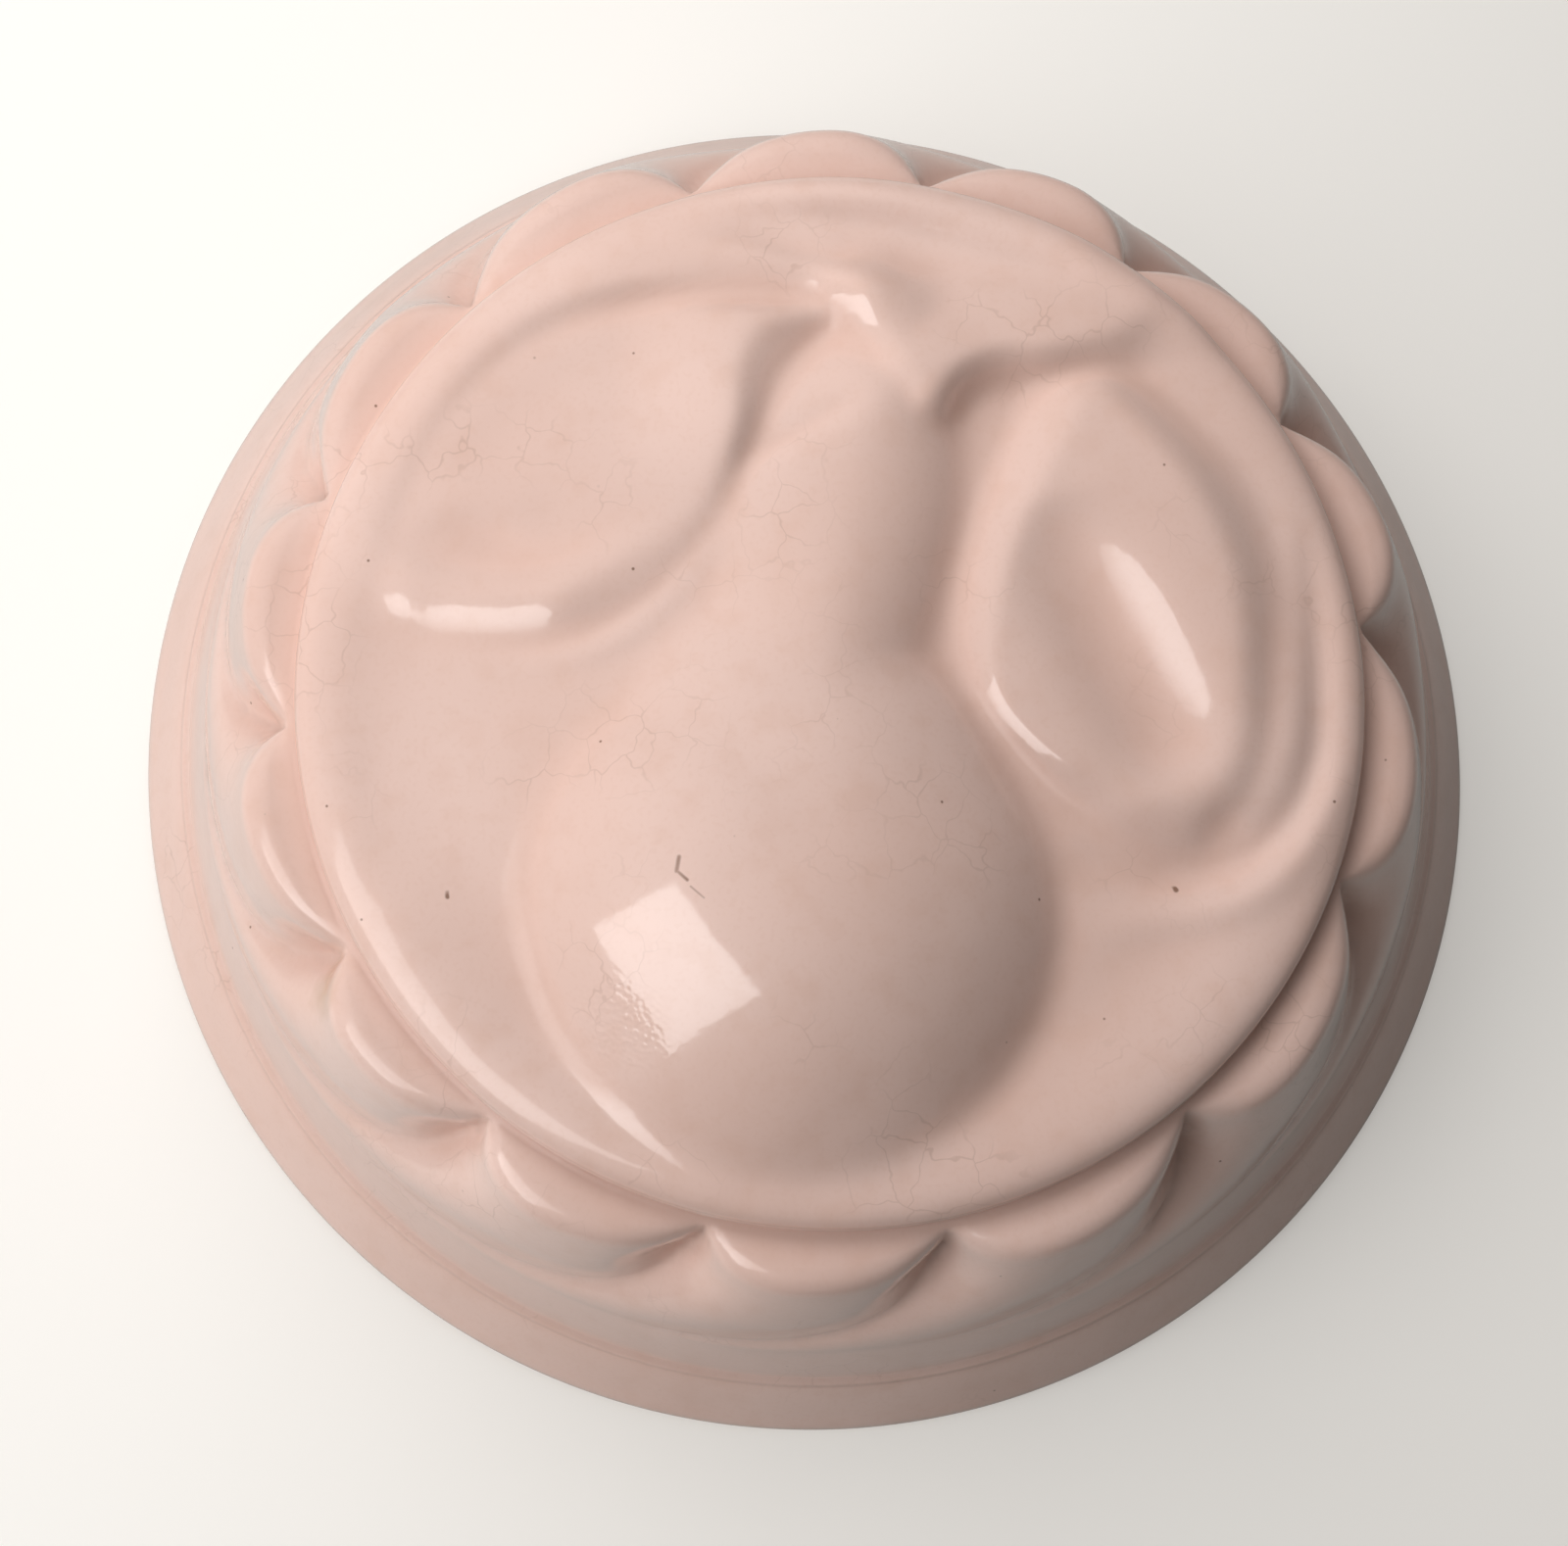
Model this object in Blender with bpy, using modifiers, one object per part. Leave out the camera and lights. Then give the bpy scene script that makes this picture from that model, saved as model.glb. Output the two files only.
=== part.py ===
# A glazed earthenware pudding mould, standing open side down.
# One slip-cast shell: a plain collar at the rim, a sloping wall of fourteen leaning lobes,
# a rounded shoulder ring, and a pear between a leaf and a round fruit in relief on top.
# Blender 4.5, metres, +Z up, origin at the middle of the rim's resting face.

import math

import bpy
import numpy as np

MM = 0.001

# Driving sizes
WALL_FOOT_RADIUS = 87.0 * MM
WALL_FOOT_LEVEL = 14.0 * MM
WALL_TOP_RADIUS = 69.2 * MM
WALL_TOP_LEVEL = 49.4 * MM
WALL_BULGE = 0.6 * MM
TOP_LEVEL = 55.0 * MM
TOP_RADIUS = 67.0 * MM
RING_START = 61.0 * MM
RING_ROUNDING = 26.0 * MM
RING_BEND = 65.2 * MM
BEND_ROUNDING = 3.4 * MM
CORNER_ROUNDING = 1.0 * MM
CORNER_TURNS = (65.0, 95.0)
CORNER_FADE_LEVEL = 50.4 * MM
CORNER_FADE_HEIGHT = 2.6 * MM
UNDERCUT = (67.3 * MM, 50.1 * MM)
SHELL_THICKNESS = 5.2 * MM
INNER_TOP_REACH = 56.0 * MM
INNER_CORNER = 2.6 * MM
OUTER_SOFTENING = 1.9
INNER_SOFTENING = 4.0
TOP_RINGS = 18
WALL_RINGS = 11
INNER_WALL_RINGS = 7
INNER_TOP_RINGS = 10
TURN_STEPS = 96
MERGE_DISTANCE = 0.00005
# collar, rim and flat foot, from the wall round to the inside: radius and level in millimetres
COLLAR_SECTION = [
    (88.2, 13.0),
    (88.3, 11.9),
    (88.9, 11.4),
    (94.6, 3.2),
    (95.0, 2.0),
    (94.4, 0.6),
    (93.2, 0.0),
    (88.6, 0.0),
    (87.6, 1.0),
]

# Lobes of the wall. Each one ends below and on its right in a quarter ellipse that bends under it.
# The edges stand at these azimuths, in degrees from +X towards +Y, at the level below
LOBE_EDGES = [5.9, 30.4, 54.4, 78.4, 103.9, 131.4, 157.6, 182.6, 207.4, 230.2, 255.2, 280.5, 308.4, 337.9]
LOBE_EDGE_LEVEL = 41.0 * MM
LOBE_ELLIPSE_TOP = 48.0 * MM
LOBE_ELLIPSE_HEIGHT = 23.0 * MM
LOBE_ELLIPSE_WIDTH = 27.0
LOBE_CREST = 0.38
LOBE_RISE = 4.9 * MM
LOBE_VALLEY = 1.2 * MM
LOBE_RIGHT_POWER = 0.75
LOBE_LEFT_POWER = 0.62
LOBE_EVEN_SHARE = 0.56
LOBE_SHOULDER_LEVEL = 49.7 * MM
LOBE_SHOULDER_HEIGHT = 4.8 * MM
LOBE_FOOT_LEVEL = 14.0 * MM
LOBE_FOOT_HEIGHT = 21.0 * MM
FURROW_FOOT_LEVEL = 23.5 * MM
FURROW_FOOT_HEIGHT = 11.0 * MM
PIT_LEVEL = 42.0 * MM
PIT_HEIGHT = 4.6 * MM
PIT_HALF_WIDTH = 0.14
PIT_DEPTH = 1.9 * MM

# Relief of the top face, drawn in millimetres round the axis: x, y and then what each list names
GROUND_LEVEL = 53.5
GROUND_RISE = 0.7
GROUND_RISE_RIGHT = 0.9
LEFT_SLOPE = 0.13
LEFT_SLOPE_START = -57.0
NECK_SLOPE_LOSS = 0.062
LEAF_RISE = 0.2
LEAF_RISE_INWARD = 0.6
LEAF_RISE_AT_STALK = 2.5
STALK_HOLLOW_LEVEL = 58.1
STALK_HOLLOW_SLOPE = 0.15
STALK_HOLLOW_CURVE = 0.022
UPPER_LEAF_LEVEL = 58.8
UPPER_LEAF_SLOPE = 0.03
UPPER_LEAF_BACK_SLOPE = 0.34
UPPER_LEAF_RIGHT_SLOPE = 0.14
ROUND_FRUIT_LEVEL = 56.6
ROUND_FRUIT_SLOPE_X = 0.05
ROUND_FRUIT_SLOPE_Y = 0.04
# pear, up its middle: radius, level of the crest
PEAR = [
    (-6.2, -28.0, 32.2, 66.4),
    (-4.4, -28.5, 31.8, 66.4),
    (-4.6, -19.0, 27.4, 64.8),
    (-4.4, -9.0, 21.2, 62.4),
    (-3.2, 0.0, 15.4, 60.8),
    (-1.6, 8.0, 14.2, 59.8),
    (0.0, 16.0, 14.4, 59.2),
    (1.6, 24.0, 14.6, 58.8),
    (3.4, 30.0, 13.0, 58.6),
    (5.4, 36.0, 10.6, 58.5),
]
PEAR_CURVE = 1.42
# outlines: width of the rounded edge at that point
LEAF = [
    (-57.0, 9.0, 3.0),
    (-56.0, 18.0, 4.0),
    (-52.5, 29.0, 4.0),
    (-45.0, 39.0, 4.0),
    (-34.0, 46.5, 4.0),
    (-20.0, 50.8, 4.0),
    (-6.0, 50.5, 4.0),
    (1.5, 48.3, 4.0),
    (-3.0, 44.8, 6.0),
    (-7.2, 39.5, 6.0),
    (-9.4, 33.0, 4.0),
    (-12.0, 27.0, 3.0),
    (-15.6, 20.4, 3.0),
    (-28.0, 8.2, 3.0),
    (-37.0, 5.6, 3.0),
    (-53.0, 6.0, 3.0),
]
STALK_HOLLOW = [
    (-11.6, 28.0, 2.4),
    (2.6, 36.0, 2.6),
    (5.4, 40.0, 4.0),
    (4.0, 46.0, 4.0),
    (-2.0, 48.0, 4.0),
    (-11.2, 34.0, 3.0),
]
UPPER_LEAF = [
    (-3.0, 53.0, 6.0),
    (-2.6, 48.5, 8.0),
    (0.0, 42.5, 8.0),
    (4.0, 36.0, 7.0),
    (8.5, 31.0, 7.0),
    (14.2, 33.0, 4.5),
    (16.6, 37.0, 4.5),
    (27.0, 39.2, 4.5),
    (38.0, 41.0, 6.0),
    (53.0, 46.0, 8.0),
    (43.0, 58.0, 6.0),
    (28.0, 66.5, 5.0),
    (14.0, 69.5, 5.0),
    (2.0, 68.0, 5.0),
    (-9.0, 62.0, 6.0),
]
ROUND_FRUIT = [
    (22.5, 37.0, 7.0),
    (19.4, 26.0, 6.5),
    (15.8, 14.0, 6.0),
    (15.2, 5.0, 6.0),
    (18.2, -3.0, 4.5),
    (29.8, -16.0, 6.0),
    (37.0, -20.2, 6.5),
    (45.0, -21.4, 7.0),
    (52.6, -17.6, 8.0),
    (57.6, 2.0, 8.0),
    (55.4, 20.0, 8.0),
    (44.0, 36.6, 7.0),
    (30.0, 45.0, 5.0),
]
# soft strokes: rise along the stroke, half width
LEFT_LEAF_LIP = [
    (-55.8, 15.5, 0.4, 3.4),
    (-47.0, 10.9, 1.2, 3.5),
    (-34.0, 11.4, 1.8, 3.4),
    (-21.0, 19.5, 0.2, 2.6),
]
ROUND_FRUIT_HOLLOW = [
    (27.5, 24.0, -0.4, 7.0),
    (33.5, 9.0, -3.4, 7.0),
    (41.5, -6.5, -2.8, 7.0),
    (44.0, -13.0, -0.5, 7.0),
]
NARROW_LEAF = [
    (57.6, 19.0, 0.1, 2.0),
    (57.8, 2.0, 0.8, 2.4),
    (55.0, -13.0, 0.8, 2.4),
    (52.2, -17.5, 0.2, 2.0),
]
OUTER_GROOVE = [
    (61.2, 12.0, -0.5, 2.2),
    (61.0, -6.0, -1.2, 2.2),
    (54.0, -20.4, -1.0, 2.4),
    (36.0, -24.0, -0.6, 2.8),
]
LOW_RIDGE = [
    (33.0, -30.5, 0.3, 3.0),
    (51.0, -26.8, 1.2, 3.0),
    (62.6, -12.5, 0.4, 2.6),
]
STROKES = (LEFT_LEAF_LIP, ROUND_FRUIT_HOLLOW, NARROW_LEAF, OUTER_GROOVE, LOW_RIDGE)

GLAZE_COLOUR = (0.77, 0.52, 0.45, 1.0)
GLAZE_ROUGHNESS = 0.14


def clear_scene():
    for item in list(bpy.data.objects):
        bpy.data.objects.remove(item, do_unlink=True)


def smooth_step(value):
    value = np.clip(value, 0.0, 1.0)
    return value * value * (3.0 - 2.0 * value)


def smooth_rows(rows, closed, steps=8):
    """A smooth curve through rows of numbers, with every column carried along."""
    rows = np.array(rows, float)
    count = len(rows)
    curve = []
    for index in range(count if closed else count - 1):
        picks = [index - 1, index, index + 1, index + 2]
        picks = [pick % count if closed else min(max(pick, 0), count - 1) for pick in picks]
        before, start, end, after = rows[picks]
        for t in np.arange(steps) / steps:
            pull = end - before
            bend = 2.0 * before - 5.0 * start + 4.0 * end - after
            twist = 3.0 * start - before - 3.0 * end + after
            curve.append(start + 0.5 * (pull * t + bend * t ** 2 + twist * t ** 3))
    if not closed:
        curve.append(rows[-1])
    return np.array(curve)


def edge_profile(x, y, outline):
    """0 outside an outline, rising over its rounded edge to 1 well inside it."""
    curve = smooth_rows(outline, closed=True)
    nearest = np.full(x.shape, np.inf)
    width = np.ones(x.shape)
    inside = np.zeros(x.shape, bool)
    for (ax, ay, a_width), (bx, by, b_width) in zip(curve, np.roll(curve, -1, axis=0)):
        dx = bx - ax
        dy = by - ay
        along = np.clip(((x - ax) * dx + (y - ay) * dy) / (dx * dx + dy * dy), 0.0, 1.0)
        distance = np.hypot(x - ax - along * dx, y - ay - along * dy)
        closer = distance < nearest
        nearest = np.where(closer, distance, nearest)
        width = np.where(closer, a_width + along * (b_width - a_width), width)
        if ay != by:
            inside ^= ((ay > y) != (by > y)) & (x < ax + dx * (y - ay) / dy)
    return np.where(inside, smooth_step(nearest / width), 0.0)


def stroke_rise(x, y, rows):
    """A soft ridge, or a groove where the rise is negative, along a smooth line."""
    curve = smooth_rows(rows, closed=False)
    nearest = np.full(x.shape, np.inf)
    rise = np.zeros(x.shape)
    width = np.ones(x.shape)
    for start, end in zip(curve[:-1], curve[1:]):
        dx, dy, more_rise, more_width = end - start
        along = np.clip(((x - start[0]) * dx + (y - start[1]) * dy) / (dx * dx + dy * dy), 0.0, 1.0)
        distance = np.hypot(x - start[0] - along * dx, y - start[1] - along * dy)
        closer = distance < nearest
        nearest = np.where(closer, distance, nearest)
        rise = np.where(closer, start[2] + along * more_rise, rise)
        width = np.where(closer, start[3] + along * more_width, width)
    return rise * np.exp(-(nearest / width) ** 2)


def ring_tilt(radius):
    """Sine of the shoulder ring's slope: its share in a wide rounding and in a tighter bend."""
    out = np.clip(radius, RING_START, TOP_RADIUS + CORNER_ROUNDING)
    wide = (np.minimum(out, RING_BEND) - RING_START) / RING_ROUNDING
    return wide, np.maximum(out - RING_BEND, 0.0) / BEND_ROUNDING


def ring_drop(radius):
    """How far the shoulder ring has rounded over at a radius, both in metres."""
    wide, tight = ring_tilt(radius)
    bend = (RING_BEND - RING_START) / RING_ROUNDING
    drop = RING_ROUNDING * (1.0 - np.sqrt(1.0 - wide ** 2))
    turned = np.sqrt(1.0 - bend ** 2) - np.sqrt(1.0 - np.minimum(bend + tight, 0.95) ** 2)
    return drop + np.where(tight > 0.0, BEND_ROUNDING * turned, 0.0)


def ground_levels(x, y):
    """Ground of the relief, and how far its left side climbs towards the pear."""
    radius = np.hypot(x, y)
    to_right = smooth_step((x + 10.0) / 50.0)
    rise = GROUND_RISE + GROUND_RISE_RIGHT * to_right
    ground = GROUND_LEVEL + rise * smooth_step((radius - 50.0) / 13.0)
    across = np.clip(x, LEFT_SLOPE_START, 0.0) - LEFT_SLOPE_START
    slope = LEFT_SLOPE - NECK_SLOPE_LOSS * smooth_step((y + 14.0) / 30.0)
    fade = smooth_step((y + 46.0) / 30.0) * smooth_step((54.0 - y) / 30.0)
    return ground, slope * across * fade


def pear_level(x, y, ground, climb):
    """The pear: a row of caps, each part of a sphere, with an even slope on the neck's left."""
    level = ground + climb * (1.0 - smooth_step((x + 8.0) / 14.0))
    flat = PEAR_CURVE ** 2 - 1.0
    for centre_x, centre_y, reach, crest in smooth_rows(PEAR, closed=False):
        across = (x - centre_x) / reach
        out = np.hypot(across, (y - centre_y) / reach)
        on_neck = smooth_step((centre_y + 30.0) / 14.0)
        leftward = -across / np.maximum(out, 1e-6)
        left_part = smooth_step(0.15 + 0.35 * on_neck + (0.9 - 0.28 * on_neck) * leftward)
        cap = np.sqrt(np.maximum(PEAR_CURVE ** 2 - out ** 2, flat)) - flat ** 0.5
        cap = cap / (PEAR_CURVE - flat ** 0.5)
        even_side = np.maximum(1.02 - np.sqrt(out ** 2 + 0.04), 0.0) / 0.82
        left_side = on_neck * even_side + (1.0 - on_neck) * cap
        foot = ground + climb * left_part
        swell = left_part * left_side + (1.0 - left_part) * cap
        level = np.maximum(level, np.where(swell > 0.0, foot + (crest - foot) * swell, 0.0))
    return level


def top_level(x, y):
    """Level of the relief in millimetres at a place given in millimetres."""
    ground, climb = ground_levels(x, y)
    level = pear_level(x, y, ground, climb)

    at_stalk = smooth_step((x + 28.0) / 18.0) * smooth_step((y - 20.0) / 16.0)
    leaf_rise = LEAF_RISE + LEAF_RISE_INWARD * smooth_step((x + 50.0) / 34.0)
    leaf_rise += LEAF_RISE_AT_STALK * at_stalk
    leaf_top = np.maximum(ground + climb + leaf_rise, level)
    from_crease = np.maximum(0.86 * (y - 32.5) - 0.5 * (x + 4.0), 0.0)
    hollow_floor = STALK_HOLLOW_LEVEL + STALK_HOLLOW_SLOPE * from_crease
    hollow_floor += STALK_HOLLOW_CURVE * from_crease ** 2
    level = level + np.minimum(hollow_floor - level, 0.0) * edge_profile(x, y, STALK_HOLLOW)
    level = level + (leaf_top - level) * edge_profile(x, y, LEAF)

    back = np.clip(y - 41.0, 0.0, 14.0)
    back_slope = UPPER_LEAF_BACK_SLOPE - 0.008 * (x - 8.0)
    back_slope = np.clip(back_slope, UPPER_LEAF_RIGHT_SLOPE, UPPER_LEAF_BACK_SLOPE)
    upper_top = UPPER_LEAF_LEVEL - UPPER_LEAF_SLOPE * (x - 8.0) - back_slope * back
    level = np.maximum(level, ground + (upper_top - ground) * edge_profile(x, y, UPPER_LEAF))

    fruit_top = ROUND_FRUIT_LEVEL + ROUND_FRUIT_SLOPE_X * (x - 30.0) + ROUND_FRUIT_SLOPE_Y * (y - 5.0)
    fruit_top -= smooth_step((y - 22.0) / 18.0)
    level = np.maximum(level, ground + (fruit_top - ground) * edge_profile(x, y, ROUND_FRUIT))
    for rows in STROKES:
        level = level + stroke_rise(x, y, rows)
    return level - ring_drop(np.hypot(x, y) * MM) / MM


def softened_level(x, y, reach):
    """The relief as the slip and the glaze round it off: averaged over a small circle."""
    total = top_level(x, y)
    for angle in np.arange(0.0, 360.0, 60.0):
        dx = reach * math.cos(math.radians(angle))
        dy = reach * math.sin(math.radians(angle))
        total = total + top_level(x + dx, y + dy)
    return total / 7.0


def edge_turn(level):
    """How far a lobe's lower edge has turned round the axis at a level, in degrees."""
    down = np.clip((LOBE_ELLIPSE_TOP - level) / LOBE_ELLIPSE_HEIGHT, 0.0, 1.0)
    return LOBE_ELLIPSE_WIDTH * np.sqrt(1.0 - down ** 2)


def lobe_swell(azimuth, level):
    """How far the wall stands out from its plain cone, in metres."""
    edges = np.array([LOBE_EDGES[-1] - 360.0] + LOBE_EDGES)
    turned = azimuth - edge_turn(level) + edge_turn(LOBE_EDGE_LEVEL)
    turned = (turned - edges[0]) % 360.0 + edges[0]
    spot = np.clip(np.searchsorted(edges, turned, side="right") - 1, 0, len(edges) - 2)
    across = (turned - edges[spot]) / (edges[spot + 1] - edges[spot])
    on_right = across > LOBE_CREST
    out = np.where(on_right, (across - LOBE_CREST) / (1.0 - LOBE_CREST), 1.0 - across / LOBE_CREST)
    body = np.clip(1.0 - out ** 2, 0.0, 1.0) ** np.where(on_right, LOBE_RIGHT_POWER, LOBE_LEFT_POWER)
    furrow = smooth_step((level - FURROW_FOOT_LEVEL) / FURROW_FOOT_HEIGHT)
    body = LOBE_EVEN_SHARE + (body - LOBE_EVEN_SHARE) * furrow
    to_shoulder = np.clip((LOBE_SHOULDER_LEVEL - level) / LOBE_SHOULDER_HEIGHT, 0.0, 1.0)
    fade = (1.0 - (1.0 - to_shoulder) ** 2.2) * smooth_step((level - LOBE_FOOT_LEVEL) / LOBE_FOOT_HEIGHT)
    valley = LOBE_VALLEY * smooth_step((level - 28.0 * MM) / (14.0 * MM))
    to_edge = np.minimum(across + 0.06, np.abs(0.94 - across)) / PIT_HALF_WIDTH
    pit = PIT_DEPTH * np.exp(-to_edge ** 2 - ((level - PIT_LEVEL) / PIT_HEIGHT) ** 2)
    return ((LOBE_RISE + valley) * body - valley) * fade - pit


def wall_slope():
    across = WALL_TOP_RADIUS - WALL_FOOT_RADIUS
    up = WALL_TOP_LEVEL - WALL_FOOT_LEVEL
    length = math.hypot(across, up)
    return up / length, -across / length


def wall_points(count, inset):
    """Places up the plain wall, set in from its outer face."""
    normal = wall_slope()
    points = []
    for share in np.linspace(1.0, 0.0, count):
        bulge = WALL_BULGE * math.sin(math.pi * share) - inset
        radius = WALL_FOOT_RADIUS + (WALL_TOP_RADIUS - WALL_FOOT_RADIUS) * share
        level = WALL_FOOT_LEVEL + (WALL_TOP_LEVEL - WALL_FOOT_LEVEL) * share
        points.append((radius + bulge * normal[0], level + bulge * normal[1]))
    return points


def shell_profile():
    """Half section from the axis over the top, down the wall, under the rim and back inside.

    Each point has its radius, its level and what it belongs to.
    """
    profile = []
    for radius in np.linspace(0.0, TOP_RADIUS, TOP_RINGS):
        profile.append((radius, TOP_LEVEL, "top"))
    edge_level = TOP_LEVEL - ring_drop(TOP_RADIUS)
    tilt = math.asin(sum(ring_tilt(TOP_RADIUS)))
    for turn in CORNER_TURNS:
        angle = math.radians(turn)
        radius = TOP_RADIUS + CORNER_ROUNDING * (math.sin(angle) - math.sin(tilt))
        level = edge_level + CORNER_ROUNDING * (math.cos(angle) - math.cos(tilt))
        profile.append((radius, level, "corner"))
    profile.append(UNDERCUT + ("corner",))
    profile += [point + ("wall",) for point in wall_points(WALL_RINGS, 0.0)]
    profile += [(radius * MM, level * MM, "plain") for radius, level in COLLAR_SECTION]
    inside = wall_points(INNER_WALL_RINGS, SHELL_THICKNESS)[::-1]
    profile += [point + ("wall",) for point in inside[:-1]]
    inner_radius = inside[-1][0]
    inner_top = TOP_LEVEL - SHELL_THICKNESS
    profile.append((inner_radius, inner_top - 0.85 * INNER_CORNER, "plain"))
    profile.append((inner_radius - INNER_CORNER, inner_top - 0.12 * INNER_CORNER, "plain"))
    for radius in np.linspace(INNER_TOP_REACH, 0.0, INNER_TOP_RINGS):
        profile.append((radius, inner_top, "inner_top"))
    return profile


def turn_profile(profile, name):
    """Turn the half section about +Z into one closed mesh."""
    mesh = bpy.data.meshes.new(name + "_profile")
    edges = [(index, index + 1) for index in range(len(profile) - 1)]
    mesh.from_pydata([(radius, 0.0, level) for radius, level, _ in profile], edges, [])
    turned = bpy.data.objects.new(name + "_profile", mesh)
    bpy.context.scene.collection.objects.link(turned)
    screw = turned.modifiers.new("Turn", "SCREW")
    screw.steps = TURN_STEPS
    screw.render_steps = TURN_STEPS
    screw.use_merge_vertices = True
    screw.merge_threshold = MERGE_DISTANCE
    screw.use_normal_calculate = False
    bpy.context.view_layer.update()
    evaluated = turned.evaluated_get(bpy.context.evaluated_depsgraph_get())
    shell_mesh = bpy.data.meshes.new_from_object(evaluated)
    bpy.data.objects.remove(turned, do_unlink=True)
    shell_mesh.name = name
    return shell_mesh


def press_relief(shell_mesh, profile):
    """Move the turned surface out to the lobes and up to the fruit."""
    points = np.empty(len(shell_mesh.vertices) * 3)
    shell_mesh.vertices.foreach_get("co", points)
    points = points.reshape(-1, 3)
    radius = np.hypot(points[:, 0], points[:, 1])
    azimuth = np.degrees(np.arctan2(points[:, 1], points[:, 0]))
    section = np.array([(point[0], point[1]) for point in profile])
    off = np.hypot(radius[:, None] - section[:, 0], points[:, 2, None] - section[:, 1])
    kinds = np.array([point[2] for point in profile])[off.argmin(axis=1)]

    wall = kinds == "wall"
    normal = wall_slope()
    swell = lobe_swell(azimuth[wall], points[wall, 2])
    outward = points[wall, :2] / radius[wall, None]
    points[wall, :2] += outward * (swell * normal[0])[:, None]
    points[wall, 2] += swell * normal[1]

    for kind, reach in (("top", OUTER_SOFTENING), ("inner_top", INNER_SOFTENING)):
        chosen = kinds == kind
        level = softened_level(points[chosen, 0] / MM, points[chosen, 1] / MM, reach)
        points[chosen, 2] += level * MM - TOP_LEVEL
    corner = kinds == "corner"
    inward = TOP_RADIUS / MM / radius[corner]
    level = softened_level(points[corner, 0] * inward, points[corner, 1] * inward, OUTER_SOFTENING)
    shift = level * MM + ring_drop(TOP_RADIUS) - TOP_LEVEL
    points[corner, 2] += shift * smooth_step((points[corner, 2] - CORNER_FADE_LEVEL) / CORNER_FADE_HEIGHT)
    shell_mesh.vertices.foreach_set("co", points.ravel())
    shell_mesh.update()


def glaze_material():
    material = bpy.data.materials.new("pink_glaze")
    material.use_nodes = True
    shader = material.node_tree.nodes["Principled BSDF"]
    shader.inputs["Base Color"].default_value = GLAZE_COLOUR
    shader.inputs["Roughness"].default_value = GLAZE_ROUGHNESS
    shader.inputs["Metallic"].default_value = 0.0
    return material


def build_mould():
    name = "mould_body"
    profile = shell_profile()
    shell_mesh = turn_profile(profile, name)
    press_relief(shell_mesh, profile)
    shell_mesh.shade_smooth()
    shell_mesh.materials.append(glaze_material())
    parts = bpy.data.collections.new("pudding_mould")
    bpy.context.scene.collection.children.link(parts)
    parts.objects.link(bpy.data.objects.new(name, shell_mesh))


clear_scene()
build_mould()
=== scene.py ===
import math

import bpy
import numpy as np
from mathutils import Matrix, Vector


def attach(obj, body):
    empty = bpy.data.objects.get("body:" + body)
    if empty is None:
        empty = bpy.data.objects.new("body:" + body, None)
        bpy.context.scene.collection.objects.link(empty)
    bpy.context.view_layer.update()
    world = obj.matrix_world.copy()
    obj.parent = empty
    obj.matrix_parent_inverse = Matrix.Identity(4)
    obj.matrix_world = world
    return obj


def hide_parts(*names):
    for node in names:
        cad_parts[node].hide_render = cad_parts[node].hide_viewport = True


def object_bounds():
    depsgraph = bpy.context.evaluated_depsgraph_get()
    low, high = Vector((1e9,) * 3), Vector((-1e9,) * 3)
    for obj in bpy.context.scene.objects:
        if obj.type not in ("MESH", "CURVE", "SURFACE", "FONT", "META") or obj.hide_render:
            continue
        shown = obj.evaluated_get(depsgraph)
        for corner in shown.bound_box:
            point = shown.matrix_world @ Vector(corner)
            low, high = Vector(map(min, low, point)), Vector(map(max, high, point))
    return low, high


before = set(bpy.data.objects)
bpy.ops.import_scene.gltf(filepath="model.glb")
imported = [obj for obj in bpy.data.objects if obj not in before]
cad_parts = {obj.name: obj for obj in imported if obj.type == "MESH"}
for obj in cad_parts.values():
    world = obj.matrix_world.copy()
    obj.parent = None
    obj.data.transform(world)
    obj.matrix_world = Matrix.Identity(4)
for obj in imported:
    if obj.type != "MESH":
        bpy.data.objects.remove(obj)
cadBox = [list(corner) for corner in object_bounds()]
print("frame loaded:", sorted(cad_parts))


# the mould itself: one cast and glazed shell. Sizes in millimetres, set to scale by the frame's box
mouldSettings = {
    "rimDiameter": 190.0,
    "turnSteps": 448,
    "topLevel": 55.0,
    "ringStart": 61.0,          # the shoulder ring: a wide rounding first, then a tighter bend
    "ringRounding": 26.0,
    "ringBend": 65.2,
    "bendRounding": 3.4,
    "steepestBend": 0.95,       # sine of the slope where the bend stops turning
    "ringEnd": 68.5,
    "topRadius": 67.0,
    "cornerRounding": 1.0,
    "cornerEnd": 98.0,          # degrees, so the corner turns a little under
    "cornerSteps": 7,
    "cornerSpan": (50.4, 2.6),  # levels over which the corner comes to follow the top's relief
    "wallTop": (69.2, 49.4),
    "wallFoot": (87.0, 14.0),
    "wallBulge": 0.6,
    "wallSteps": 25,
    "thickness": 5.2,
    "cove": [(0.8, 2.3), (2.4, 0.7), (5.0, 0.0), (7.0, 0.0)],   # inside the ring: inwards, below the ceiling
    "spacing": {"outside": 0.95, "corner": 0.6, "rim": 0.7, "foot": 1.5, "rimInside": 1.2, "inside": 2.0},
    "blurTop": 0.9,
    "blurInside": 2.4,
    "curveSteps": 8,
    "mergeReach": 0.02,
}
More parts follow.
